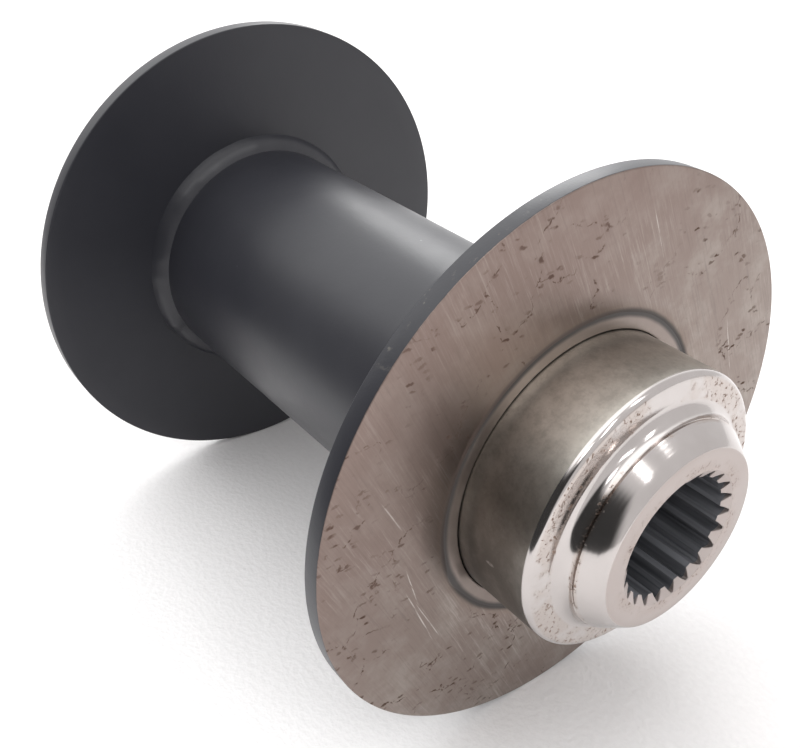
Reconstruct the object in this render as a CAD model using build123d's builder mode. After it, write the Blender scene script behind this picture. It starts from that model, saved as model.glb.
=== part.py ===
from build123d import *
import math
import os

# Winch rope drum, welded from plate, tube and two turned hubs.
# Millimetres. X is the drum's axis and points to the splined gear end, Z is up,
# and the origin is on the axis, midway between the two flanges.

INCH = 25.4

# rope span and flanges
ROPE_SPAN = 7.6875 * INCH
FLANGE_RADIUS = 4.0 * INCH
FLANGE_THICKNESS = 0.25 * INCH
FLANGE_EDGE_BREAK = 0.4

# barrel tube
BARREL_RADIUS = 49.2
BARREL_WALL = 0.375 * INCH
BARREL_BORE_RADIUS = BARREL_RADIUS - BARREL_WALL

# weld beads
ROPE_SIDE_BEAD_LEG = 5.8
BEAD_BULGE = 0.5
HUB_BEAD_WIDTH = 5.8
HUB_BEAD_DEPTH = 4.0
HUB_BEAD_CROWN = 0.5
MOTOR_BEAD_LEG = 5.0

# both hubs sit on the flange's outer face and locate in the barrel's bore
SPIGOT_CLEARANCE = 0.05
SPIGOT_DEPTH = 12.0
SPIGOT_CHAMFER = 1.5

# splined gear-end hub
GEAR_HUB_RADIUS = 49.5
GEAR_HUB_LENGTH = 44.0
GEAR_HUB_ROOT_LENGTH = 1.2
GEAR_HUB_ROOT_STEP = 0.55
LIP_LENGTH = 30.5
LIP_ROUND = 2.6
LIP_FACE_DRAFT = 0.5
COVE_OUTER_RADIUS = 42.0
COVE_RADIUS = 4.7
NOSE_RADIUS = 37.2
NOSE_TIP_RADIUS = 1.25 * INCH
NOSE_CONE_LENGTH = 7.3
NOSE_GROOVE = 0.8

# internal involute spline
SPLINE_TEETH = 22
SPLINE_MODULE = 2.0
SPLINE_PRESSURE_ANGLE = math.radians(30)
SPLINE_MAJOR_RADIUS = 23.8
SPLINE_MINOR_RADIUS = 21.0
SPLINE_LENGTH = 44.0
SPLINE_PHASE = 2.0
SPLINE_RELIEF_RADIUS = 24.6
SPLINE_SPACE_OVERLAP = 1.0
MOUTH_RADIUS = 24.2
MOUTH_DEPTH = 1.85

# plain motor-end hub and its bush
MOTOR_COLLAR_RADIUS = 48.0
MOTOR_COLLAR_LENGTH = 8.0
MOTOR_JOURNAL_RADIUS = 1.25 * INCH
MOTOR_JOURNAL_LENGTH = 1.0 * INCH
MOTOR_JOURNAL_CHAMFER = 1.5
MOTOR_HUB_BORE_RADIUS = 20.0
BUSH_BORE_RADIUS = 0.625 * INCH
BUSH_LENGTH = 30.0
BUSH_CHAMFER = 0.8
BUSH_SETBACK = 1.0

# rope anchor, on the barrel's underside beside the motor-end flange
ANCHOR_X = -66.0
ANCHOR_WIDTH = 24.0
ANCHOR_TOP_Z = -17.0
ANCHOR_NEAR_Y = 22.0
ANCHOR_FAR_Y = -20.0
ANCHOR_BEAD_LEG = 4.0
ANCHOR_BEAD_ARC = 50.0
ROPE_HOLE_RADIUS = 6.75
ROPE_HOLE_TILT = math.radians(20)
ROPE_HOLE_Z = -31.0
ROPE_HOLE_START_Y = 34.0
ROPE_HOLE_END_Y = -24.0

# rope set screws, 5/16 inch with a hex socket and a cup point
SCREW_RADIUS = 0.15625 * INCH
SCREW_HOLE_RADIUS = SCREW_RADIUS + 0.04
SCREW_LENGTH = 0.25 * INCH
SCREW_SOCKET_FLATS = 0.15625 * INCH
SCREW_SOCKET_DEPTH = 3.0
SCREW_CHAMFER = 0.6
SCREW_CUP_RADIUS = 1.6
SCREW_CUP_TIP_RADIUS = 0.2
SCREW_CUP_DEPTH = 1.0
SCREW_TIP_GAP = 1.8
OUTER_SCREW_Y = 4.0
INNER_SCREW_Y = -10.0
SCREW_CUT_MARGIN = 2.0

# stations along the axis
inner_face = ROPE_SPAN / 2
outer_face = inner_face + FLANGE_THICKNESS
gear_end = outer_face + GEAR_HUB_LENGTH
motor_shoulder = -outer_face - MOTOR_COLLAR_LENGTH
motor_end = motor_shoulder - MOTOR_JOURNAL_LENGTH
spigot_end = inner_face - SPIGOT_DEPTH
spigot_radius = BARREL_BORE_RADIUS - SPIGOT_CLEARANCE
root_radius = GEAR_HUB_RADIUS + GEAR_HUB_ROOT_STEP


def involute(angle):
    """The involute function of a pressure angle."""
    return math.tan(angle) - angle


def half_space_angle(radius):
    """Half the angle of one spline space at a radius, in radians."""
    pitch_radius = SPLINE_MODULE * SPLINE_TEETH / 2
    base_radius = pitch_radius * math.cos(SPLINE_PRESSURE_ANGLE)
    at_pitch = math.pi / (2 * SPLINE_TEETH)
    return at_pitch + involute(SPLINE_PRESSURE_ANGLE) - involute(math.acos(base_radius / radius))


def flank_point(radius, side):
    """A point of the spline's flank, beside a space centred on local +X."""
    angle = side * half_space_angle(radius)
    return (radius * math.cos(angle), radius * math.sin(angle))


def rope_hole_z(y):
    """Height of the rope hole's axis at a given y."""
    return ROPE_HOLE_Z - y * math.tan(ROPE_HOLE_TILT)


def screw_tip_z(y):
    """Height of a backed-off screw's tip, just below the rope hole's wall."""
    return rope_hole_z(y) - ROPE_HOLE_RADIUS / math.cos(ROPE_HOLE_TILT) - SCREW_TIP_GAP


# the rope hole slopes in the drum's cross-section, outside end first
rope_hole_plane = Plane(
    origin=(ANCHOR_X, ROPE_HOLE_START_Y, rope_hole_z(ROPE_HOLE_START_Y)),
    x_dir=(1, 0, 0),
    z_dir=(0, -math.cos(ROPE_HOLE_TILT), math.sin(ROPE_HOLE_TILT)),
)
rope_hole_length = (ROPE_HOLE_START_Y - ROPE_HOLE_END_Y) / math.cos(ROPE_HOLE_TILT)
screw_plane = Plane.XY.offset(-BARREL_RADIUS - SCREW_CUT_MARGIN)
screw_spots = [(ANCHOR_X, OUTER_SCREW_Y), (ANCHOR_X, INNER_SCREW_Y)]
screw_hole_top = ROPE_HOLE_Z
screw_hole_length = screw_hole_top + BARREL_RADIUS + SCREW_CUT_MARGIN

parts = []

# ---------------------------------------------------------------- barrel tube
with BuildPart() as barrel_tube:
    with BuildSketch(Plane.YZ):
        Circle(BARREL_RADIUS)
        Circle(BARREL_BORE_RADIUS, mode=Mode.SUBTRACT)
    extrude(amount=inner_face, both=True)
    with BuildSketch(rope_hole_plane):
        Circle(ROPE_HOLE_RADIUS)
    extrude(amount=rope_hole_length, mode=Mode.SUBTRACT)
    with BuildSketch(screw_plane):
        with Locations(*screw_spots):
            Circle(SCREW_HOLE_RADIUS)
    extrude(amount=screw_hole_length, mode=Mode.SUBTRACT)
barrel_tube.part.label = "barrel_tube"
parts.append(barrel_tube.part)

# ------------------------------------------------------------ gear-end flange
with BuildPart() as gear_end_flange:
    with BuildSketch(Plane.YZ.offset(inner_face)):
        Circle(FLANGE_RADIUS)
        Circle(BARREL_BORE_RADIUS, mode=Mode.SUBTRACT)
    extrude(amount=FLANGE_THICKNESS)
    rim = gear_end_flange.edges().filter_by(GeomType.CIRCLE).group_by(SortBy.RADIUS)[-1]
    chamfer(rim, FLANGE_EDGE_BREAK)
    with BuildSketch(Plane.XZ):
        with BuildLine():
            Polyline(
                (outer_face, root_radius),
                (outer_face, root_radius + HUB_BEAD_WIDTH),
                (outer_face - HUB_BEAD_DEPTH, root_radius),
                close=True,
            )
        make_face()
    revolve(axis=Axis.X, mode=Mode.SUBTRACT)
gear_end_flange.part.label = "gear_end_flange"
parts.append(gear_end_flange.part)

# ----------------------------------------------------------- motor-end flange
with BuildPart() as motor_end_flange:
    with BuildSketch(Plane.YZ.offset(-outer_face)):
        Circle(FLANGE_RADIUS)
        Circle(BARREL_BORE_RADIUS, mode=Mode.SUBTRACT)
    extrude(amount=FLANGE_THICKNESS)
    rim = motor_end_flange.edges().filter_by(GeomType.CIRCLE).group_by(SortBy.RADIUS)[-1]
    chamfer(rim, FLANGE_EDGE_BREAK)
motor_end_flange.part.label = "motor_end_flange"
parts.append(motor_end_flange.part)

# ------------------------------------------------------- splined gear-end hub
lip_face = outer_face + LIP_LENGTH
cove_start = lip_face + LIP_FACE_DRAFT
nose_start = gear_end - NOSE_CONE_LENGTH
cove_end = cove_start + COVE_RADIUS
cove_middle = COVE_RADIUS * (1 - math.sqrt(0.5))

# one spline space: two flanks, a short root and a base inside the minor bore
space_mouth = flank_point(SPLINE_MINOR_RADIUS, 1)
space_root = flank_point(SPLINE_MAJOR_RADIUS, 1)
flank_middle = (SPLINE_MAJOR_RADIUS + SPLINE_MINOR_RADIUS) / 2

with BuildSketch() as spline_space:
    with BuildLine():
        ThreePointArc(space_mouth, flank_point(flank_middle, 1), space_root)
        ThreePointArc(
            flank_point(SPLINE_MINOR_RADIUS, -1),
            flank_point(flank_middle, -1),
            flank_point(SPLINE_MAJOR_RADIUS, -1),
        )
        Line(space_root, flank_point(SPLINE_MAJOR_RADIUS, -1))
        Polyline(
            space_mouth,
            (space_mouth[0] - SPLINE_SPACE_OVERLAP, space_mouth[1]),
            (space_mouth[0] - SPLINE_SPACE_OVERLAP, -space_mouth[1]),
            (space_mouth[0], -space_mouth[1]),
        )
    make_face()

with BuildPart() as splined_hub:
    with BuildSketch(Plane.XZ):
        with BuildLine() as hub_outline:
            Polyline(
                (gear_end, 0),
                (spigot_end, 0),
                (spigot_end, spigot_radius - SPIGOT_CHAMFER),
                (spigot_end + SPIGOT_CHAMFER, spigot_radius),
                (outer_face, spigot_radius),
                (outer_face, root_radius),
                (outer_face + GEAR_HUB_ROOT_LENGTH, root_radius),
                (outer_face + GEAR_HUB_ROOT_LENGTH, GEAR_HUB_RADIUS),
                (lip_face - LIP_ROUND, GEAR_HUB_RADIUS),
            )
            RadiusArc(
                (lip_face - LIP_ROUND, GEAR_HUB_RADIUS),
                (lip_face, GEAR_HUB_RADIUS - LIP_ROUND),
                LIP_ROUND,
            )
            Line((lip_face, GEAR_HUB_RADIUS - LIP_ROUND), (cove_start, COVE_OUTER_RADIUS))
            ThreePointArc(
                (cove_start, COVE_OUTER_RADIUS),
                (cove_start + cove_middle, COVE_OUTER_RADIUS - COVE_RADIUS + cove_middle),
                (cove_end, COVE_OUTER_RADIUS - COVE_RADIUS),
            )
            Polyline(
                (cove_end, COVE_OUTER_RADIUS - COVE_RADIUS),
                (nose_start - NOSE_GROOVE, COVE_OUTER_RADIUS - COVE_RADIUS),
                (nose_start - NOSE_GROOVE / 2, NOSE_RADIUS - NOSE_GROOVE),
                (nose_start, NOSE_RADIUS),
                (gear_end, NOSE_TIP_RADIUS),
                (gear_end, 0),
            )
        make_face()
    revolve(axis=Axis.X)
    # minor bore, then the spline spaces, the relief behind them and the lead-in
    with BuildSketch(Plane.YZ.offset(spigot_end)):
        Circle(SPLINE_MINOR_RADIUS)
    extrude(amount=gear_end - spigot_end, mode=Mode.SUBTRACT)
    with BuildSketch(Plane.YZ.offset(gear_end)):
        with PolarLocations(0, SPLINE_TEETH, start_angle=SPLINE_PHASE):
            add(spline_space.sketch)
    extrude(amount=-SPLINE_LENGTH, mode=Mode.SUBTRACT)
    with BuildSketch(Plane.YZ.offset(spigot_end)):
        Circle(SPLINE_RELIEF_RADIUS)
    extrude(amount=gear_end - SPLINE_LENGTH - spigot_end, mode=Mode.SUBTRACT)
    with BuildSketch(Plane.XZ):
        with BuildLine():
            Polyline(
                (gear_end, 0),
                (gear_end, MOUTH_RADIUS),
                (gear_end - MOUTH_DEPTH, SPLINE_MINOR_RADIUS),
                (gear_end - MOUTH_DEPTH, 0),
                close=True,
            )
        make_face()
    revolve(axis=Axis.X, mode=Mode.SUBTRACT)
splined_hub.part.label = "splined_hub"
parts.append(splined_hub.part)

# -------------------------------------------------------- plain motor-end hub
with BuildPart() as motor_end_hub:
    with BuildSketch(Plane.XZ):
        with BuildLine():
            Polyline(
                (-spigot_end, MOTOR_HUB_BORE_RADIUS),
                (-spigot_end, spigot_radius - SPIGOT_CHAMFER),
                (-spigot_end - SPIGOT_CHAMFER, spigot_radius),
                (-outer_face, spigot_radius),
                (-outer_face, MOTOR_COLLAR_RADIUS),
                (motor_shoulder + SPIGOT_CHAMFER, MOTOR_COLLAR_RADIUS),
                (motor_shoulder, MOTOR_COLLAR_RADIUS - SPIGOT_CHAMFER),
                (motor_shoulder, MOTOR_JOURNAL_RADIUS),
                (motor_end + MOTOR_JOURNAL_CHAMFER, MOTOR_JOURNAL_RADIUS),
                (motor_end, MOTOR_JOURNAL_RADIUS - MOTOR_JOURNAL_CHAMFER),
                (motor_end, MOTOR_HUB_BORE_RADIUS),
                close=True,
            )
        make_face()
    revolve(axis=Axis.X)
motor_end_hub.part.label = "motor_end_hub"
parts.append(motor_end_hub.part)

with BuildPart() as motor_end_bushing:
    with BuildSketch(Plane.YZ.offset(motor_end + BUSH_SETBACK)):
        Circle(MOTOR_HUB_BORE_RADIUS)
        Circle(BUSH_BORE_RADIUS, mode=Mode.SUBTRACT)
    extrude(amount=BUSH_LENGTH)
    chamfer(motor_end_bushing.edges().filter_by(GeomType.CIRCLE), BUSH_CHAMFER)
motor_end_bushing.part.label = "motor_end_bushing"
parts.append(motor_end_bushing.part)


# ---------------------------------------------------------------- weld beads
def fillet_bead(corner_x, corner_radius, direction, leg, bulge):
    """Profile of a round bead in the corner between a cylinder and a plate."""
    toe_on_tube = (corner_x + direction * leg, corner_radius)
    toe_on_plate = (corner_x, corner_radius + leg)
    crown = (corner_x + direction * (leg / 2 + bulge), corner_radius + leg / 2 + bulge)
    Polyline(toe_on_plate, (corner_x, corner_radius), toe_on_tube)
    ThreePointArc(toe_on_tube, crown, toe_on_plate)


rope_side_beads = (("gear_flange_weld", inner_face, -1), ("motor_flange_weld", -inner_face, 1))
for bead_name, corner, direction in rope_side_beads:
    with BuildPart() as rope_side_bead:
        with BuildSketch(Plane.XZ):
            with BuildLine():
                fillet_bead(corner, BARREL_RADIUS, direction, ROPE_SIDE_BEAD_LEG, BEAD_BULGE)
            make_face()
        revolve(axis=Axis.X)
    rope_side_bead.part.label = bead_name
    parts.append(rope_side_bead.part)

with BuildPart() as motor_hub_weld:
    with BuildSketch(Plane.XZ):
        with BuildLine():
            fillet_bead(-outer_face, MOTOR_COLLAR_RADIUS, -1, MOTOR_BEAD_LEG, BEAD_BULGE)
        make_face()
    revolve(axis=Axis.X)
motor_hub_weld.part.label = "motor_hub_weld"
parts.append(motor_hub_weld.part)

# the gear hub's bead fills the flange's bevel and stands slightly proud
with BuildPart() as gear_hub_weld:
    with BuildSketch(Plane.XZ):
        with BuildLine():
            Polyline(
                (outer_face, root_radius + HUB_BEAD_WIDTH),
                (outer_face - HUB_BEAD_DEPTH, root_radius),
                (outer_face, root_radius),
            )
            ThreePointArc(
                (outer_face, root_radius),
                (outer_face + HUB_BEAD_CROWN, root_radius + HUB_BEAD_WIDTH / 2),
                (outer_face, root_radius + HUB_BEAD_WIDTH),
            )
        make_face()
    revolve(axis=Axis.X)
gear_hub_weld.part.label = "gear_hub_weld"
parts.append(gear_hub_weld.part)

# ---------------------------------------------------------------- rope anchor
with BuildPart() as rope_anchor_block:
    with BuildSketch(Plane.YZ.offset(ANCHOR_X - ANCHOR_WIDTH / 2)):
        Circle(BARREL_BORE_RADIUS)
        with Locations(((ANCHOR_NEAR_Y + ANCHOR_FAR_Y) / 2, ANCHOR_TOP_Z)):
            Rectangle(
                ANCHOR_NEAR_Y - ANCHOR_FAR_Y,
                BARREL_RADIUS,
                align=(Align.CENTER, Align.MAX),
                mode=Mode.INTERSECT,
            )
    extrude(amount=ANCHOR_WIDTH)
    with BuildSketch(rope_hole_plane):
        Circle(ROPE_HOLE_RADIUS)
    extrude(amount=rope_hole_length, mode=Mode.SUBTRACT)
    with BuildSketch(screw_plane):
        with Locations(*screw_spots):
            Circle(SCREW_HOLE_RADIUS)
    extrude(amount=screw_hole_length, mode=Mode.SUBTRACT)
rope_anchor_block.part.label = "rope_anchor_block"
parts.append(rope_anchor_block.part)

# two beads run round the barrel's bore, one along each side of the block
bead_start_plane = Plane.XZ.rotated((-ANCHOR_BEAD_ARC / 2, 0, 0))
with BuildPart() as rope_anchor_weld:
    for side in (1, -1):
        edge_x = ANCHOR_X + side * ANCHOR_WIDTH / 2
        with BuildSketch(bead_start_plane):
            with BuildLine():
                Polyline(
                    (edge_x, -BARREL_BORE_RADIUS),
                    (edge_x + side * ANCHOR_BEAD_LEG, -BARREL_BORE_RADIUS),
                    (edge_x, -BARREL_BORE_RADIUS + ANCHOR_BEAD_LEG),
                    close=True,
                )
            make_face()
        revolve(axis=Axis.X, revolution_arc=ANCHOR_BEAD_ARC)
rope_anchor_weld.part.label = "rope_anchor_weld"
parts.append(rope_anchor_weld.part)

# ---------------------------------------------------------- rope set screws
for screw_name, screw_y in (("outer_rope_screw", OUTER_SCREW_Y), ("inner_rope_screw", INNER_SCREW_Y)):
    tip_z = screw_tip_z(screw_y)
    with BuildPart() as rope_screw:
        with BuildSketch(Plane.XY.offset(tip_z - SCREW_LENGTH)):
            with Locations((ANCHOR_X, screw_y)):
                Circle(SCREW_RADIUS)
        extrude(amount=SCREW_LENGTH)
        chamfer(rope_screw.edges().filter_by(GeomType.CIRCLE), SCREW_CHAMFER)
        with BuildSketch(Plane.XY.offset(tip_z - SCREW_LENGTH)):
            with Locations((ANCHOR_X, screw_y)):
                RegularPolygon(SCREW_SOCKET_FLATS / 2, 6, major_radius=False)
        extrude(amount=SCREW_SOCKET_DEPTH, mode=Mode.SUBTRACT)
        with Locations((ANCHOR_X, screw_y, tip_z)):
            Cone(
                SCREW_CUP_TIP_RADIUS,
                SCREW_CUP_RADIUS,
                SCREW_CUP_DEPTH,
                align=(Align.CENTER, Align.CENTER, Align.MAX),
                mode=Mode.SUBTRACT,
            )
    rope_screw.part.label = screw_name
    parts.append(rope_screw.part)

os.makedirs("parts", exist_ok=True)
for part in parts:
    export_step(part, f"parts/{part.label}.step")
    print(part.label, round(part.volume), "mm3")
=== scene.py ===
import math

import bpy
from mathutils import Matrix, Vector, noise


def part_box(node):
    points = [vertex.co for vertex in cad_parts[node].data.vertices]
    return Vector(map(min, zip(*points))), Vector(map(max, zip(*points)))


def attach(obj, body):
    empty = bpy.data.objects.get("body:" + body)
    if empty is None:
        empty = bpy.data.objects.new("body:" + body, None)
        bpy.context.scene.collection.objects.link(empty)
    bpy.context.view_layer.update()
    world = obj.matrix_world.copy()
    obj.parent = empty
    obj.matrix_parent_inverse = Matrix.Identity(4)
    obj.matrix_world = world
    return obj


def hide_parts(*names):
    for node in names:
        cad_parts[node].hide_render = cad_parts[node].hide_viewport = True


# Looks for the welded rope drum. Metres, in the CAD's frame: X is the drum's axis and points to
# the splined gear end, Z is up, and the origin is midway between the flanges.

MM = 0.001
TAU = 2 * math.pi

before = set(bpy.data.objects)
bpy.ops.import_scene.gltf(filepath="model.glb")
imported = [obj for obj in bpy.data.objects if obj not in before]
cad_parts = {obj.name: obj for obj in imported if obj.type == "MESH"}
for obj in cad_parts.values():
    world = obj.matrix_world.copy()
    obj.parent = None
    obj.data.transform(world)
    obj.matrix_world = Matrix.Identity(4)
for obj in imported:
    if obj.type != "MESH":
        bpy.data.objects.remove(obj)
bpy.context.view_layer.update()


# ------------------------------------------------------------------- sizes read from the frame
def largest_radius(node):
    """The radius of a round CAD node about the drum's axis."""
    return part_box(node)[1].z


barrel_radius = largest_radius("barrel_tube")
flange_radius = largest_radius("gear_end_flange")
inner_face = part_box("barrel_tube")[1].x
outer_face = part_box("gear_end_flange")[1].x
spigot_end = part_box("splined_hub")[0].x
gear_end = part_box("splined_hub")[1].x
rope_bead_leg = inner_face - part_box("gear_flange_weld")[0].x
motor_collar_radius = largest_radius("motor_end_hub")
motor_bead_leg = -outer_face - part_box("motor_hub_weld")[0].x

# ------------------------------------------------------------------------- gear hub's profile
# As in the CAD to 0.1 mm. The nose's edge break is added, and the bead's groove takes the place
# of the step at the hub's root.
HUB_RADIUS = 49.5 * MM
LIP_LENGTH = 30.5 * MM
LIP_ROUND = 2.6 * MM
LIP_FACE_DRAFT = 0.5 * MM
COVE_OUTER_RADIUS = 42.0 * MM
COVE_RADIUS = 4.7 * MM
NOSE_RADIUS = 37.2 * MM
NOSE_TIP_RADIUS = 31.75 * MM
NOSE_CONE_LENGTH = 7.3 * MM
NOSE_GROOVE = 0.8 * MM
NOSE_EDGE_BREAK = 0.4 * MM
SPIGOT_RADIUS = 39.6 * MM
SPIGOT_CHAMFER = 1.5 * MM
SPLINE_TEETH = 22
SPLINE_MODULE = 2.0 * MM
SPLINE_PRESSURE_ANGLE = math.radians(30)
SPLINE_MAJOR_RADIUS = 23.8 * MM
SPLINE_MINOR_RADIUS = 21.0 * MM
SPLINE_LENGTH = 44.0 * MM
SPLINE_PHASE = math.radians(2.0)
SPLINE_RELIEF_RADIUS = 24.6 * MM
MOUTH_RADIUS = 24.2 * MM
MOUTH_DEPTH = 1.85 * MM
lip_face = outer_face + LIP_LENGTH
lip_start = lip_face - LIP_ROUND
nose_start = gear_end - NOSE_CONE_LENGTH

# the gear hub's bead, nearly level with the plate
HUB_BEAD_TOE = 55.6 * MM
HUB_BEAD_DEPTH = 1.5 * MM
HUB_BEAD_OVERLAP = 1.2 * MM
COUNTERSINK_DEPTH = 3 * MM
HUB_BEAD_STOP = math.radians(207)
HEAT_FRINGE = 4.5 * MM


# ------------------------------------------------------------------------------- mesh helpers
def make_piece(name, vertices, faces, material, body, stands_for, sharp_angle=38):
    """A mesh piece that rides on a body and stands for CAD nodes."""
    mesh = bpy.data.meshes.new(name)
    mesh.from_pydata(vertices, [], faces)
    mesh.update()
    mesh.shade_smooth()
    mesh.set_sharp_from_angle(angle=math.radians(sharp_angle))
    mesh.materials.append(material)
    piece = bpy.data.objects.new(name, mesh)
    bpy.context.scene.collection.objects.link(piece)
    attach(piece, body)
    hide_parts(*stands_for)
    return piece


def per_angle(value, count):
    """A ring's value at each angle, from one number or a list."""
    return value if isinstance(value, list) else [value] * count


def turned_mesh(rings, angles):
    """Vertices and faces of a closed body of rings about X. A ring is (x, radius), or lists of both."""
    count = len(angles)
    vertices = []
    for ring_x, ring_radius in rings:
        for x, radius, angle in zip(per_angle(ring_x, count), per_angle(ring_radius, count), angles):
            vertices.append((x, radius * math.cos(angle), radius * math.sin(angle)))
    faces = []
    for a in range(len(rings)):
        b = (a + 1) % len(rings)
        for i in range(count):
            j = (i + 1) % count
            faces.append((a * count + i, a * count + j, b * count + j, b * count + i))
    return vertices, faces


def even_angles(count):
    return [TAU * i / count for i in range(count)]


def arc(centre_x, centre_radius, radius, start, end, steps):
    """Points of an arc in the (x, radius) half-plane, in degrees from +x towards +radius."""
    points = []
    for i in range(steps + 1):
        a = math.radians(start + (end - start) * i / steps)
        points.append((centre_x + radius * math.cos(a), centre_radius + radius * math.sin(a)))
    return points


def wobble(angle, scale, seed):
    """Smooth noise round a circle, from about -1 to 1."""
    return noise.noise(Vector((math.cos(angle) * scale, math.sin(angle) * scale, seed)))


def lump(angle, centre, width):
    """A bump of height 1 at one place round a circle, as where a weld starts and stops."""
    away = math.remainder(angle - centre, TAU)
    return math.exp(-(away / width) ** 2)


# --------------------------------------------------------------------------- node-tree helpers
class Nodes:
    """A node tree with short calls for the nodes that the finishes and the room's light share."""

    def __init__(self, tree, coordinates):
        self.tree = tree
        self.place = self.new("ShaderNodeTexCoord").outputs[coordinates]
        self.x, self.y, self.z = self.parts(self.place)

    def new(self, kind, **settings):
        node = self.tree.nodes.new(kind)
        for key, value in settings.items():
            setattr(node, key, value)
        return node

    def link(self, value, socket):
        if isinstance(value, bpy.types.NodeSocket):
            self.tree.links.new(value, socket)
        else:
            socket.default_value = value

    def parts(self, vector):
        split = self.new("ShaderNodeSeparateXYZ")
        self.link(vector, split.inputs[0])
        return split.outputs

    def math(self, operation, a, b=0.0):
        node = self.new("ShaderNodeMath", operation=operation)
        self.link(a, node.inputs[0])
        self.link(b, node.inputs[1])
        return node.outputs[0]

    def chain(self, operation, values):
        result = values[0]
        for value in values[1:]:
            result = self.math(operation, result, value)
        return result

    def times(self, *values):
        return self.chain("MULTIPLY", values)

    def plus(self, *values):
        return self.chain("ADD", values)

    def most(self, *values):
        return self.chain("MAXIMUM", values)

    def size(self, value):
        return self.math("ABSOLUTE", value)

    def step(self, value, start, end):
        """0 at start and 1 at end, smooth between. start may be the larger."""
        node = self.new("ShaderNodeMapRange", interpolation_type="SMOOTHSTEP")
        rising = start < end
        for key, item in (("Value", value), ("From Min", min(start, end)), ("From Max", max(start, end)),
                          ("To Min", 0.0 if rising else 1.0), ("To Max", 1.0 if rising else 0.0)):
            self.link(item, node.inputs[key])
        return node.outputs[0]

    def band(self, value, low, high, soft):
        """1 between low and high, with soft edges."""
        return self.times(self.step(value, low - soft, low), self.step(value, high + soft, high))

    def mapped(self, vector, rotation=(0, 0, 0), scale=(1, 1, 1), shift=(0, 0, 0)):
        node = self.new("ShaderNodeMapping")
        for key, value in (("Vector", vector), ("Rotation", rotation), ("Scale", scale),
                           ("Location", shift)):
            self.link(value, node.inputs[key])
        return node.outputs[0]

    def noise_node(self, scale, detail, roughness, distortion, vector):
        node = self.new("ShaderNodeTexNoise")
        for key, value in (("Vector", vector or self.place), ("Scale", scale), ("Detail", detail),
                           ("Roughness", roughness), ("Distortion", distortion)):
            self.link(value, node.inputs[key])
        return node

    def noise(self, scale, detail=2.0, roughness=0.5, distortion=0.0, vector=None):
        return self.noise_node(scale, detail, roughness, distortion, vector).outputs["Fac"]

    def warped(self, scale, amount, vector=None):
        """The place, pushed about by a noise of that scale by up to about amount."""
        push = self.noise_node(scale, 3.0, 0.6, 0.0, vector).outputs["Color"]
        moved = self.new("ShaderNodeVectorMath", operation="MULTIPLY_ADD")
        self.link(push, moved.inputs[0])
        self.link((amount, amount, amount), moved.inputs[1])
        self.link(vector or self.place, moved.inputs[2])
        return moved.outputs[0]

    def cells(self, scale, feature="F1", vector=None):
        node = self.new("ShaderNodeTexVoronoi", feature=feature)
        self.link(vector or self.place, node.inputs["Vector"])
        self.link(scale, node.inputs["Scale"])
        return node

    def specks(self, scale, size, share, vector=None):
        """Small round specks on a share of the cells of a Voronoi pattern."""
        cells = self.cells(scale, "F1", vector)
        dot = self.step(cells.outputs["Distance"], size, size * 0.5)
        chance, _, strength = self.parts(cells.outputs["Color"])
        return self.times(dot, self.math("LESS_THAN", chance, share), self.plus(strength, 0.3))

    def cracks(self, scale, width, vector=None):
        """Thin lines between the cells of a Voronoi pattern, width as a share of a cell."""
        edge = self.cells(scale, "DISTANCE_TO_EDGE", vector).outputs["Distance"]
        return self.step(edge, width, width * 0.3)

    def mix(self, factor, a, b):
        node = self.new("ShaderNodeMix", data_type="RGBA")
        self.link(factor, node.inputs[0])
        self.link(a if isinstance(a, bpy.types.NodeSocket) else (*a, 1.0), node.inputs[6])
        self.link(b if isinstance(b, bpy.types.NodeSocket) else (*b, 1.0), node.inputs[7])
        return node.outputs[2]

    def blend(self, factor, a, b):
        node = self.new("ShaderNodeMix", data_type="FLOAT")
        for value, index in ((factor, 0), (a, 2), (b, 3)):
            self.link(value, node.inputs[index])
        return node.outputs[0]


class Finish(Nodes):
    """A material in object coordinates, with the radius about the drum's axis."""

    def __init__(self, name):
        self.material = bpy.data.materials.new(name)
        self.material.use_nodes = True
        super().__init__(self.material.node_tree, "Object")
        self.shader = self.tree.nodes["Principled BSDF"]
        self.radius = self.math("SQRT", self.plus(self.times(self.y, self.y), self.times(self.z, self.z)))

    def scratch(self, y, z, slope, length, width):
        """One straight scratch on a face square to X. slope is in degrees from +Y towards +Z."""
        cos, sin = math.cos(math.radians(slope)), math.sin(math.radians(slope))
        beside, above = self.plus(self.y, -y), self.plus(self.z, -z)
        along = self.size(self.plus(self.times(beside, cos), self.times(above, sin)))
        across = self.size(self.plus(self.times(above, cos), self.times(beside, -sin)))
        return self.times(self.step(along, length / 2, length / 4), self.step(across, width, width * 0.3))

    def bump(self, height, distance, strength):
        node = self.new("ShaderNodeBump")
        for key, value in (("Height", height), ("Distance", distance), ("Strength", strength)):
            self.link(value, node.inputs[key])
        return node.outputs[0]

    def done(self, colour, roughness, metallic, normal):
        for key, value in (("Base Color", colour), ("Roughness", roughness), ("Metallic", metallic),
                           ("Normal", normal)):
            self.link(value, self.shader.inputs[key])
        return self.material


# ------------------------------------------------------------------------------------ finishes
def paint_layers(s):
    """Satin black paint's colour, roughness and grain."""
    cloud = s.noise(28, 4.0, 0.6)
    colour = s.mix(cloud, (0.0195, 0.0200, 0.0255), (0.0295, 0.0300, 0.0370))
    dust = s.times(s.specks(260, 0.13, 0.03), s.step(s.noise(22, 2.0), 0.48, 0.60))
    colour = s.mix(s.times(dust, 0.3), colour, (0.34, 0.34, 0.34))
    roughness = s.blend(s.noise(60, 3.0), 0.32, 0.42)
    grain = s.plus(s.noise(1500, 2.0), s.times(s.noise(180, 2.0), 2.0))
    return colour, roughness, grain


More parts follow.
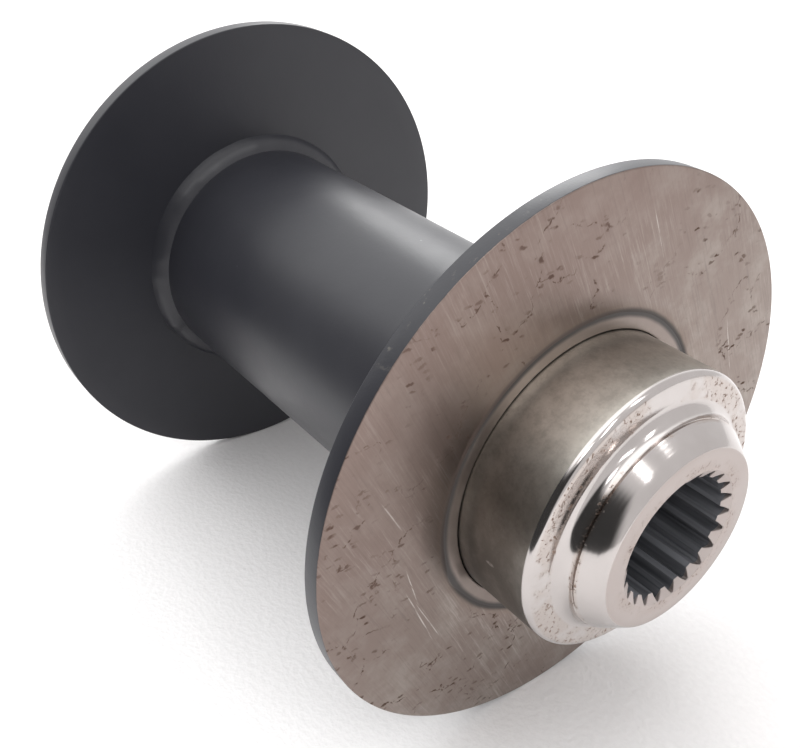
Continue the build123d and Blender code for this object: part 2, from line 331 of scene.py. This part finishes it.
def black_paint():
    s = Finish("black_paint")
    colour, roughness, grain = paint_layers(s)
    return s.done(colour, roughness, 0.0, s.bump(grain, 0.04 * MM, 0.5))


GRIND_TURN = math.radians(-30)
RUST_TURN = math.radians(-55)
# each scratch's y, z, slope in degrees, length and width, in millimetres
PLATE_SCRATCHES = ((-62, -34, -64, 34, 0.30), (-58, -38, -60, 26, 0.22), (-66, -20, -70, 20, 0.25),
                   (-76, 12, -58, 18, 0.30), (20, 78, -62, 22, 0.18), (74, 24, -66, 30, 0.20))


def ground_steel(s):
    """Bare ground plate: colour, grind streaks and rust."""
    cloud = s.noise(11, 4.0, 0.55)
    fine_cloud = s.noise(70, 4.0, 0.65)
    steel = s.mix(cloud, (0.225, 0.170, 0.150), (0.305, 0.255, 0.225))
    steel = s.mix(s.step(fine_cloud, 0.40, 0.75), steel, (0.33, 0.284, 0.254))
    turned_place = s.mapped(s.place, rotation=(GRIND_TURN, 0, 0))
    fine = s.noise(60, 4.0, 0.75, 0.0, s.mapped(turned_place, scale=(1, 26, 1.1)))
    broad = s.noise(24, 4.0, 0.7, 0.0, s.mapped(turned_place, scale=(1, 16, 1.5)))
    streaks = s.plus(s.times(fine, 0.6), s.times(broad, 0.4))
    patches = s.step(s.noise(16, 3.0, 0.6, 0.0, s.mapped(s.place, shift=(0.2, 0.5, 0.1))), 0.35, 0.65)
    steel = s.mix(s.times(s.step(streaks, 0.50, 0.64), patches, 0.65), steel, (0.45, 0.405, 0.37))
    steel = s.mix(s.times(s.step(streaks, 0.50, 0.34), 0.4), steel, (0.16, 0.13, 0.115))
    scratches = s.most(*[s.scratch(y * MM, z * MM, slope, length * MM, width * MM)
                         for y, z, slope, length, width in PLATE_SCRATCHES])
    steel = s.mix(s.times(scratches, s.step(fine, 0.35, 0.6), 0.8), steel, (0.74, 0.70, 0.66))
    return steel, streaks


def dashes(s, scale, size, share):
    """Short specks drawn out along the grain of the rust."""
    lying = s.mapped(s.warped(240, 3 * MM), rotation=(RUST_TURN, 0, 0), scale=(1, 0.4, 1))
    return s.specks(scale, size, share, lying)


def plate_rust(s):
    """Trails and clusters of short rust dashes, with a few fine broken lines."""
    bent = s.warped(260, 4 * MM, s.warped(60, 18 * MM))
    trails = s.cracks(40, 0.13, bent)
    patches = s.step(s.noise(20, 3.0, 0.6, 0.0, s.mapped(s.place, shift=(0.3, 0.1, 0.7))), 0.40, 0.54)
    clusters = s.step(s.noise(34, 4.0, 0.7, 0.0, s.mapped(s.place, shift=(0.9, 0.4, 0.2))), 0.54, 0.64)
    away = s.step(s.radius, HUB_BEAD_TOE, HUB_BEAD_TOE + 6 * MM)
    where = s.times(s.most(s.times(trails, patches), clusters), away)
    marks = s.most(dashes(s, 440, 0.34, 0.55), s.times(dashes(s, 270, 0.28, 0.25), 0.9))
    bits = s.times(s.step(s.noise(110, 3.0, 0.6), 0.46, 0.55), s.step(s.noise(620, 2.0, 0.6), 0.40, 0.54))
    lines = s.times(s.cracks(40, 0.018, bent), bits, patches)
    return s.most(s.times(marks, where), lines)


def bead_toe_shade(s):
    """The soft dark line along the hub bead's outer toe: painted shade where the bead meets the plate."""
    edge = s.plus(s.radius, s.times(s.noise(50, 3.0, 0.6), 1.2 * MM))
    return s.band(edge, HUB_BEAD_TOE - 0.2 * MM, HUB_BEAD_TOE + 0.8 * MM, 1.7 * MM)


def gear_flange_finish():
    """Painted on the rope side and the rim. Outside it is bare ground plate with lines of rust."""
    s = Finish("gear_flange_finish")
    paint, paint_roughness, paint_grain = paint_layers(s)
    scuffs = s.times(s.step(s.noise(330, 4.0, 0.7), 0.58, 0.70), s.step(s.noise(18, 2.0), 0.58, 0.68))
    paint = s.mix(s.times(scuffs, 0.5), paint, (0.20, 0.18, 0.15))
    steel, streaks = ground_steel(s)
    rust = plate_rust(s)
    rust_colour = s.mix(s.noise(300, 2.0), (0.055, 0.028, 0.018), (0.12, 0.062, 0.036))
    steel = s.mix(s.times(rust, 0.85), steel, rust_colour)
    tint = s.times(s.step(s.radius, HUB_BEAD_TOE + HEAT_FRINGE, HUB_BEAD_TOE), 0.45)
    steel = s.mix(tint, steel, (0.20, 0.145, 0.11))
    steel = s.mix(s.times(bead_toe_shade(s), 0.85), steel, (0.028, 0.027, 0.028))
    # painted dark reflection: the bare face grows darker and pinker towards its upper side
    painted_reflection_upper_side = s.step(s.plus(s.z, s.times(s.y, -1.0)), 0.0, 110 * MM)
    steel = s.mix(s.times(painted_reflection_upper_side, 0.45), steel, (0.20, 0.135, 0.118))
    uneven_x = s.plus(s.x, s.times(s.noise(260, 3.0, 0.7), 0.3 * MM))
    bare = s.step(uneven_x, outer_face - 0.15 * MM, outer_face)
    by_the_bead = s.step(s.radius, HUB_BEAD_TOE + 6 * MM, HUB_BEAD_TOE + 4 * MM)
    bare = s.most(bare, s.times(by_the_bead, s.step(s.x, outer_face - COUNTERSINK_DEPTH,
                                                outer_face - 2 * MM)))
    colour = s.mix(bare, paint, steel)
    shade = bead_toe_shade(s)
    steel_roughness = s.plus(s.blend(streaks, 0.30, 0.46), s.times(rust, 0.3), s.times(shade, 0.15))
    roughness = s.blend(bare, paint_roughness, steel_roughness)
    grain = s.blend(bare, paint_grain, s.times(s.plus(streaks, s.times(rust, -0.4)), 1.6))
    metallic = s.times(bare, s.blend(shade, 0.92, 0.25))
    return s.done(colour, roughness, metallic, s.bump(grain, 0.05 * MM, 0.6))


def hub_bead_finish():
    """Weld metal like the plate, with a dark line of painted shade at its outer toe and painted shadow in
    its groove beside the hub.
    """
    s = Finish("hub_bead_finish")
    cloud = s.noise(60, 5.0, 0.65)
    steel = s.mix(cloud, (0.225, 0.178, 0.158), (0.36, 0.31, 0.28))
    steel = s.mix(s.times(bead_toe_shade(s), 0.85), steel, (0.028, 0.027, 0.028))
    # painted shadow: the groove beside the hub is coloured near black
    root = s.step(s.radius, HUB_RADIUS + 0.5 * MM, HUB_RADIUS + 0.25 * MM)
    steel = s.mix(root, steel, (0.012, 0.010, 0.009))
    shade = bead_toe_shade(s)
    roughness = s.plus(s.blend(cloud, 0.32, 0.46), s.times(shade, 0.15))
    normal = s.bump(s.noise(500, 3.0, 0.6), 0.05 * MM, 0.4)
    return s.done(steel, roughness, s.blend(shade, 0.92, 0.25), normal)


def hub_zone_rust(s):
    """Rust specks, and the stain round them, on the lip's face, the nose's root and the end face."""
    lip = s.times(s.step(s.x, lip_face - 0.6 * MM, lip_face - 0.1 * MM),
                  s.band(s.radius, COVE_OUTER_RADIUS - 0.6 * MM, HUB_RADIUS - 1.6 * MM, 0.8 * MM))
    root = s.band(s.x, nose_start - 1.6 * MM, nose_start + 0.2 * MM, 0.7 * MM)
    end = s.times(s.step(s.x, gear_end - 0.2 * MM, gear_end - 0.05 * MM),
                  s.step(s.radius, SPLINE_MAJOR_RADIUS + 5 * MM, SPLINE_MAJOR_RADIUS + 2 * MM))
    zone = s.most(lip, root, end)
    blotch = s.step(s.noise(520, 4.0, 0.75, 0.3, s.warped(200, 4 * MM)), 0.535, 0.63)
    patches = s.step(s.noise(48, 3.0, 0.65), 0.42, 0.56)
    return s.times(zone, blotch, patches), s.times(zone, patches)


def dull_side(s):
    """The hub's turned cylinder: cloudy and smeared, with a painted dark reflection on its lower side,
    dark flecks and bright nicks.
    """
    cloud = s.noise(38, 5.0, 0.7)
    dull = s.mix(cloud, (0.26, 0.245, 0.216), (0.78, 0.745, 0.68))
    smear = s.step(s.noise(95, 4.0, 0.75, 0.3, s.mapped(s.place, scale=(1.6, 1, 1))), 0.42, 0.80)
    dull = s.mix(s.times(smear, 0.5), dull, (0.62, 0.60, 0.55))
    # painted reflection: the cylinder's lower side is darkened, as though mirroring the dark plate and
    # floor beneath
    painted_reflection_below = s.step(s.plus(s.y, s.z), -20 * MM, -62 * MM)
    dull = s.mix(s.times(painted_reflection_below, s.blend(smear, 0.85, 0.70)), dull, (0.10, 0.095, 0.088))
    fleck = s.step(s.noise(280, 4.0, 0.8), 0.38, 0.72)
    dull = s.mix(s.times(fleck, 0.28), dull, (0.15, 0.14, 0.125))
    nicks = s.times(s.specks(170, 0.16, 0.10, s.mapped(s.place, scale=(0.4, 1, 1))),
                    s.step(cloud, 0.5, 0.56))
    return s.mix(s.times(nicks, 0.6), dull, (0.80, 0.79, 0.76)), cloud


def bright_end(s, rust, stain):
    """The bright machined lip, cove and nose, with rust and its stain. Also the tone that it uses."""
    fine = s.noise(80, 4.0, 0.65)
    shiny = s.mix(fine, (0.51, 0.475, 0.46), (0.62, 0.585, 0.57))
    shiny = s.mix(s.times(stain, 0.4), shiny, (0.44, 0.36, 0.31))
    rust_colour = s.mix(s.noise(420, 2.0), (0.07, 0.038, 0.024), (0.24, 0.135, 0.075))
    return s.mix(s.times(rust, 0.8), shiny, rust_colour), fine


def matt_and_bore(s):
    """Where the end face and the spline's mouth are matt, and where the dark bore is."""
    mouth_end = gear_end - MOUTH_DEPTH
    end_face = s.step(s.x, gear_end - 0.25 * MM, gear_end - 0.05 * MM)
    inside = s.step(s.radius, SPLINE_RELIEF_RADIUS + 0.2 * MM, SPLINE_RELIEF_RADIUS)
    mouth = s.times(inside, s.step(s.x, mouth_end - 0.1 * MM, mouth_end + 0.1 * MM))
    bore = s.times(inside, s.step(s.x, mouth_end + 0.1 * MM, mouth_end - 0.1 * MM))
    return s.most(end_face, mouth), bore


def hub_finish():
    """A dull turned cylinder, then the bright lip, cove and nose, and a dark bore."""
    s = Finish("hub_finish")
    bright = s.step(s.x, lip_start - 0.1 * MM, lip_start + 0.1 * MM)
    rust, stain = hub_zone_rust(s)
    matt, bore = matt_and_bore(s)
    dull, cloud = dull_side(s)
    shiny, fine = bright_end(s, rust, stain)
    colour = s.mix(bright, dull, shiny)
    colour = s.mix(s.times(matt, s.blend(fine, 0.4, 0.9)), colour, (0.44, 0.375, 0.35))
    drawn = s.noise(160, 3.0, 0.6, 0.0, s.mapped(s.place, scale=(0.06, 1, 1)))
    bore_colour = s.mix(s.step(drawn, 0.3, 0.7), (0.05, 0.053, 0.060), (0.22, 0.226, 0.245))
    colour = s.mix(bore, colour, bore_colour)
    shiny_roughness = s.plus(s.blend(fine, 0.10, 0.16), s.times(rust, 0.45), s.times(matt, 0.32))
    roughness = s.blend(bright, s.blend(cloud, 0.27, 0.42), shiny_roughness)
    roughness = s.blend(bore, roughness, 0.42)
    rings = s.math("SINE", s.times(s.plus(s.x, s.radius), TAU / (0.3 * MM)))
    bright_grain = s.plus(s.times(rings, 0.10), s.times(rust, 0.3))
    grain = s.blend(bright, s.times(s.noise(700, 3.0, 0.7), 2.5), bright_grain)
    metallic = s.blend(bore, 1.0, 0.25)
    return s.done(colour, roughness, metallic, s.bump(grain, 0.03 * MM, 0.35))


def cloudy_metal(name, dark, light, rough_low, rough_high, scale):
    """A plain metal with cloudy tone, uneven gloss and a fine grain."""
    s = Finish(name)
    cloud = s.noise(scale, 4.0, 0.6)
    roughness = s.blend(s.noise(scale * 3, 3.0), rough_low, rough_high)
    normal = s.bump(s.noise(scale * 12, 3.0), 0.03 * MM, 0.4)
    return s.done(s.mix(cloud, dark, light), roughness, 0.95, normal)


def turned_finish():
    """Machined steel with fine turning rings and a few dull spots."""
    s = Finish("turned_steel")
    cloud = s.noise(50, 4.0, 0.6)
    colour = s.mix(cloud, (0.40, 0.375, 0.35), (0.56, 0.53, 0.50))
    spots = s.times(s.specks(240, 0.3, 0.25), s.step(s.noise(40, 3.0, 0.6), 0.5, 0.62))
    colour = s.mix(s.times(spots, 0.6), colour, (0.16, 0.10, 0.07))
    rings = s.math("SINE", s.times(s.plus(s.x, s.radius), TAU / (0.35 * MM)))
    grain = s.plus(s.times(rings, 0.3), s.noise(600, 3.0, 0.6))
    roughness = s.plus(s.blend(cloud, 0.24, 0.36), s.times(spots, 0.3))
    return s.done(colour, roughness, 1.0, s.bump(grain, 0.03 * MM, 0.35))


paint = black_paint()
gear_flange_steel = gear_flange_finish()
hub_bead_steel = hub_bead_finish()
hub_steel = hub_finish()
turned = turned_finish()
bare_weld = cloudy_metal("bare_weld", (0.16, 0.14, 0.13), (0.30, 0.265, 0.245), 0.36, 0.55, 110)
bronze = cloudy_metal("bronze", (0.42, 0.25, 0.11), (0.62, 0.41, 0.20), 0.25, 0.40, 80)
oxide = cloudy_metal("black_oxide", (0.02, 0.02, 0.022), (0.05, 0.05, 0.055), 0.35, 0.50, 300)
mill_scale = cloudy_metal("mill_scale", (0.10, 0.09, 0.085), (0.20, 0.18, 0.17), 0.42, 0.60, 70)

# ------------------------------------------------------------------------------------- flanges
FLANGE_SEGMENTS = 720
RIM_ROUND = 0.45 * MM
# wider than the CAD's, out of sight between the barrel and the hub
GEAR_FLANGE_BORE = 50.0 * MM


def hub_bead_toe(angle):
    """The outer edge of the gear hub's bead, with one start and stop."""
    return HUB_BEAD_TOE + 0.25 * MM * wobble(angle, 4, 8) + 1.2 * MM * lump(angle, HUB_BEAD_STOP, 0.10)


def flange_rings(low_x, high_x, low_bore, high_bore):
    """Rings from the low face's bore round the rim to the high face's bore."""
    spread = (0.65, 0.8, 0.92)
    rim = flange_radius - RIM_ROUND
    rings = [(low_x, low_bore)] + [(low_x, share * flange_radius) for share in spread]
    rings += arc(low_x + RIM_ROUND, rim, RIM_ROUND, 180, 90, 5)
    rings += arc(high_x - RIM_ROUND, rim, RIM_ROUND, 90, 0, 5)
    return rings + [(high_x, share * flange_radius) for share in reversed(spread)] + [(high_x, high_bore)]


def motor_flange():
    rings = flange_rings(-outer_face, -inner_face, SPIGOT_RADIUS, SPIGOT_RADIUS)
    vertices, faces = turned_mesh(rings, even_angles(FLANGE_SEGMENTS))
    make_piece("motor_flange_plate", vertices, faces, paint, "drum", ["motor_end_flange"])


def gear_flange():
    """The bare-faced plate, countersunk under the hub's bead."""
    angles = even_angles(FLANGE_SEGMENTS)
    bevel = [hub_bead_toe(angle) - HUB_BEAD_OVERLAP for angle in angles]
    rings = flange_rings(inner_face, outer_face, GEAR_FLANGE_BORE, bevel)
    rings += [(outer_face - COUNTERSINK_DEPTH, GEAR_FLANGE_BORE)]
    vertices, faces = turned_mesh(rings, angles)
    make_piece("gear_flange_plate", vertices, faces, gear_flange_steel, "drum",
               ["gear_end_flange"], 60)


motor_flange()
gear_flange()

# ---------------------------------------------------------------------------------- weld beads
BEAD_SEGMENTS = 720
BEAD_STEPS = 14
BEAD_ROOT = 0.5 * MM
BEAD_RIPPLES = 150
BEAD_STOP_WIDTH = 0.07
ROPE_BEAD_BULGE = 0.55 * MM


def corner_bead(name, corner_x, corner_radius, direction, leg, bulge, ripple, stop_angle, material,
                node):
    """A bead in an inside corner, with faint ripples, a wandering toe and one start and stop."""
    angles = even_angles(BEAD_SEGMENTS)
    rings = []
    for k in range(BEAD_STEPS + 1):
        t = k / BEAD_STEPS
        hump = math.sin(math.pi * t)
        xs, radii = [], []
        for angle in angles:
            end = lump(angle, stop_angle, BEAD_STOP_WIDTH)
            size = leg * (0.97 + 0.03 * wobble(angle, 5, 1)) + 0.5 * MM * end
            crown = (bulge + 0.15 * MM * wobble(angle, 9, 4) + 0.7 * MM * end) * hump
            crown += ripple * hump * math.sin(BEAD_RIPPLES * angle + 5 * (t - 0.5) ** 2)
            xs.append(corner_x + direction * (size * (1 - t) + crown))
            radii.append(corner_radius + size * t + crown)
        rings.append((xs, radii))
    rings.append((corner_x - direction * BEAD_ROOT, corner_radius - BEAD_ROOT))
    vertices, faces = turned_mesh(rings, angles)
    if direction < 0:
        faces = [face[::-1] for face in faces]
    make_piece(name, vertices, faces, material, "drum", [node], 60)


def hub_bead():
    """The gear hub's bead: a sharp groove beside the hub, and an outer toe that runs out in the plate."""
    angles = even_angles(FLANGE_SEGMENTS)
    steps = 24
    rings = []
    for k in range(steps + 1):
        t = k / steps
        groove = 0.5 * MM * math.exp(-(t / 0.05) ** 2)
        runout = 0.09 * MM * math.exp(-((t - 1) / 0.04) ** 2)
        xs, radii = [], []
        for angle in angles:
            crown = (0.08 * MM + 0.04 * MM * wobble(angle, 7, 2)) * math.sin(math.pi * t)
            crown += 0.5 * MM * lump(angle, HUB_BEAD_STOP, 0.08) * math.sin(math.pi * t) ** 2
            xs.append(outer_face + 0.04 * MM + crown - groove - runout)
            radii.append(HUB_RADIUS + (hub_bead_toe(angle) - HUB_RADIUS) * t)
        rings.append((xs, radii))
    rings.append((outer_face - HUB_BEAD_DEPTH, HUB_BEAD_TOE - HUB_BEAD_DEPTH))
    rings.append((outer_face - HUB_BEAD_DEPTH, HUB_RADIUS))
    vertices, faces = turned_mesh(rings, angles)
    faces = [face[::-1] for face in faces]
    make_piece("gear_hub_bead", vertices, faces, hub_bead_steel, "drum",
               ["gear_hub_weld"], 60)


corner_bead("motor_rope_side_bead", -inner_face, barrel_radius, 1, rope_bead_leg, ROPE_BEAD_BULGE, 0.0,
            math.radians(208), paint, "motor_flange_weld")
corner_bead("gear_rope_side_bead", inner_face, barrel_radius, -1, rope_bead_leg, ROPE_BEAD_BULGE, 0.0,
            math.radians(20), paint, "gear_flange_weld")
corner_bead("motor_hub_bead", -outer_face, motor_collar_radius, -1, motor_bead_leg, 0.5 * MM, 0.03 * MM,
            math.radians(250), bare_weld, "motor_hub_weld")
hub_bead()


# ---------------------------------------------------------------------------- splined gear hub
def involute(angle):
    return math.tan(angle) - angle


def half_space(radius):
    """Half the angle of a spline space at a radius."""
    pitch_radius = SPLINE_MODULE * SPLINE_TEETH / 2
    base_radius = pitch_radius * math.cos(SPLINE_PRESSURE_ANGLE)
    at_pitch = math.pi / (2 * SPLINE_TEETH)
    return at_pitch + involute(SPLINE_PRESSURE_ANGLE) - involute(math.acos(base_radius / radius))


def spline_outline():
    """Angles round the bore and the bore's radius at each, with points along every flank."""
    flank_steps = 6
    depth = SPLINE_MAJOR_RADIUS - SPLINE_MINOR_RADIUS
    flank = [SPLINE_MINOR_RADIUS + depth * i / flank_steps for i in range(flank_steps + 1)]
    half_pitch = math.pi / SPLINE_TEETH
    half_land = half_pitch - half_space(SPLINE_MINOR_RADIUS)
    angles, radii = [], []
    for tooth in range(SPLINE_TEETH):
        middle = SPLINE_PHASE + 2 * half_pitch * tooth
        for share in (1.0, 0.5):
            angles.append(middle - half_pitch + (1 - share) * half_land)
            radii.append(SPLINE_MINOR_RADIUS)
        for radius in flank:
            angles.append(middle - half_space(radius))
            radii.append(radius)
        angles.append(middle)
        radii.append(SPLINE_MAJOR_RADIUS)
        for radius in reversed(flank):
            angles.append(middle + half_space(radius))
            radii.append(radius)
        angles.append(middle + half_pitch - 0.5 * half_land)
        radii.append(SPLINE_MINOR_RADIUS)
    return angles, radii


def hub_outside():
    """The hub's turned outline, from its spigot's end round to the end face."""
    seat = outer_face - HUB_BEAD_DEPTH
    rings = [(spigot_end, SPLINE_RELIEF_RADIUS), (spigot_end, SPIGOT_RADIUS - SPIGOT_CHAMFER),
             (spigot_end + SPIGOT_CHAMFER, SPIGOT_RADIUS), (seat, SPIGOT_RADIUS), (seat, HUB_RADIUS)]
    rings += [(outer_face + (lip_start - outer_face) * i / 6, HUB_RADIUS) for i in range(6)]
    rings += arc(lip_start, HUB_RADIUS - LIP_ROUND, LIP_ROUND, 90, 0, 12)
    cove_start = lip_face + LIP_FACE_DRAFT
    rings += [(lip_face + LIP_FACE_DRAFT / 2, (HUB_RADIUS - LIP_ROUND + COVE_OUTER_RADIUS) / 2)]
    rings += arc(cove_start + COVE_RADIUS, COVE_OUTER_RADIUS, COVE_RADIUS, 180, 270, 16)
    rings += [(nose_start - NOSE_GROOVE, COVE_OUTER_RADIUS - COVE_RADIUS),
              (nose_start - NOSE_GROOVE / 2, NOSE_RADIUS - NOSE_GROOVE), (nose_start, NOSE_RADIUS)]
    slope = Vector((NOSE_CONE_LENGTH, NOSE_TIP_RADIUS - NOSE_RADIUS)).normalized() * NOSE_EDGE_BREAK
    rings += [((nose_start + gear_end) / 2, (NOSE_RADIUS + NOSE_TIP_RADIUS) / 2),
              (gear_end - slope.x, NOSE_TIP_RADIUS - slope.y),
              (gear_end, NOSE_TIP_RADIUS - NOSE_EDGE_BREAK)]
    return rings + [(gear_end, (NOSE_TIP_RADIUS + MOUTH_RADIUS) / 2)]


def hub_inside(outline):
    """The chamfered mouth, the spline's teeth and the relief behind them."""
    rings = []
    mouth_steps = 8
    for i in range(mouth_steps + 1):
        cone = MOUTH_RADIUS + (SPLINE_MINOR_RADIUS - MOUTH_RADIUS) * i / mouth_steps
        rings.append((gear_end - MOUTH_DEPTH * i / mouth_steps, [max(radius, cone) for radius in outline]))
    for i in range(1, 6):
        rings.append((gear_end - MOUTH_DEPTH - (SPLINE_LENGTH - MOUTH_DEPTH) * i / 5, outline))
    return rings + [(gear_end - SPLINE_LENGTH, SPLINE_RELIEF_RADIUS)]


def gear_hub():
    angles, outline = spline_outline()
    vertices, faces = turned_mesh(hub_outside() + hub_inside(outline), angles)
    make_piece("gear_hub", vertices, faces, hub_steel, "drum", ["splined_hub"], 28)


gear_hub()

# -------------------------------------------------------------- CAD nodes that keep their shape
for node, material in (("barrel_tube", paint), ("motor_end_hub", turned), ("motor_end_bushing", bronze),
                       ("rope_anchor_block", mill_scale), ("rope_anchor_weld", bare_weld),
                       ("outer_rope_screw", oxide), ("inner_rope_screw", oxide)):
    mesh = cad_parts[node].data
    mesh.materials.clear()
    mesh.materials.append(material)

# ------------------------------------------------------------------------------ floor and light
FLOOR_REACH = 6.0
FLOOR_FRONT = 0.28
FLOOR_GAP = 0.2 * MM


def pale_floor():
    """A pale table top whose front edge is just out of the camera's sight."""
    mesh = bpy.data.meshes.new("floor")
    corners = [(-FLOOR_REACH, -FLOOR_FRONT, 0), (FLOOR_REACH, -FLOOR_FRONT, 0),
               (FLOOR_REACH, FLOOR_REACH, 0), (-FLOOR_REACH, FLOOR_REACH, 0)]
    mesh.from_pydata(corners, [], [(0, 1, 2, 3)])
    s = Finish("pale_floor")
    pebble = s.noise(420, 2.0, 0.5)
    colour = s.mix(pebble, (0.80, 0.79, 0.79), (0.88, 0.87, 0.87))
    mesh.materials.append(s.done(colour, 0.5, 0.0, s.bump(pebble, 0.6 * MM, 0.6)))
    floor = bpy.data.objects.new("floor", mesh)
    floor.location.z = -flange_radius - FLOOR_GAP
    bpy.context.scene.collection.objects.link(floor)


def soft_light(name, direction, distance, size, power):
    """A rectangular light that faces the drum. The camera can't see it, but shiny faces mirror it."""
    light = bpy.data.lights.new(name, "AREA")
    light.shape = "RECTANGLE"
    light.size, light.size_y = size
    light.energy = power
    holder = bpy.data.objects.new(name, light)
    towards = Vector(direction).normalized()
    holder.location = towards * distance
    holder.rotation_mode = "QUATERNION"
    holder.rotation_quaternion = towards.to_track_quat("Z", "Y")
    holder.visible_camera = False
    bpy.context.scene.collection.objects.link(holder)


def soft_room():
    """A pale room with a skylight and a bright far side. Shiny faces also see a dark near side."""
    world = bpy.data.worlds.new("soft_room")
    world.use_nodes = True
    s = Nodes(world.node_tree, "Generated")
    skylight = Vector((-0.45, -0.25, 0.86)).normalized()
    facing = s.plus(s.times(s.x, skylight.x), s.times(s.y, skylight.y), s.times(s.z, skylight.z))
    sky = s.step(facing, math.cos(math.radians(47)), math.cos(math.radians(36)))
    heading = s.math("ARCTAN2", s.y, s.x)
    far_side = s.band(heading, math.radians(112), math.radians(165), math.radians(20))
    near_side = s.times(s.band(heading, math.radians(-136), math.radians(-38), math.radians(14)),
                        s.step(s.z, math.sin(math.radians(44)), math.sin(math.radians(30))))
    mirrored = s.mix(far_side, (0.86, 0.845, 0.845), (1.35, 1.35, 1.35))
    mirrored = s.mix(sky, mirrored, (2.0, 2.0, 2.0))
    mirrored = s.mix(near_side, mirrored, (0.05, 0.05, 0.05))
    diffuse = s.mix(sky, (0.74, 0.725, 0.725), (2.5, 2.5, 2.5))
    path = s.new("ShaderNodeLightPath")
    glow = s.mix(path.outputs["Is Glossy Ray"], diffuse, mirrored)
    background = s.tree.nodes["Background"]
    s.link(s.mix(path.outputs["Is Camera Ray"], glow, (0.98, 0.97, 0.97)), background.inputs["Color"])
    bpy.context.scene.world = world


pale_floor()
soft_room()
soft_light("narrow_pane", (0.66, -0.12, 0.75), 2.0, (0.17, 0.70), 3.4)
soft_light("wide_pane", (0.485, 0.247, 0.839), 2.0, (0.24, 0.60), 2.4)
soft_light("front_window", (0.49, -0.51, 0.70), 2.0, (0.45, 0.40), 2.6)
soft_light("high_window", (-0.62, 0.55, 0.55), 2.0, (0.7, 0.7), 8.5)
bpy.context.scene.view_settings.view_transform = "Standard"

# -------------------------------------------------------------------------------------- camera
CAMERA_AZIMUTH = math.radians(52.39)
CAMERA_ELEVATION = math.radians(31.515)
CAMERA_ROLL = math.radians(2.993)
CAMERA_DISTANCE = 0.41666
CAMERA_TARGET = Vector((-0.009792, 0.0, -0.027654))
CAMERA_LENS = 44.32
CAMERA_SHIFT = (0.04132, 0.01308)


def photo_camera():
    data = bpy.data.cameras.new("camera")
    data.sensor_width = 36.0
    data.lens = CAMERA_LENS
    data.shift_x, data.shift_y = CAMERA_SHIFT
    data.clip_start = 0.01
    camera = bpy.data.objects.new("camera", data)
    level = math.cos(CAMERA_ELEVATION)
    back = Vector((math.sin(CAMERA_AZIMUTH) * level, -math.cos(CAMERA_AZIMUTH) * level,
                   math.sin(CAMERA_ELEVATION)))
    roll = Matrix.Rotation(CAMERA_ROLL, 3, "Z").to_quaternion()
    camera.rotation_mode = "QUATERNION"
    camera.rotation_quaternion = back.to_track_quat("Z", "Y") @ roll
    camera.location = CAMERA_TARGET + back * CAMERA_DISTANCE
    bpy.context.scene.collection.objects.link(camera)
    bpy.context.scene.camera = camera


photo_camera()
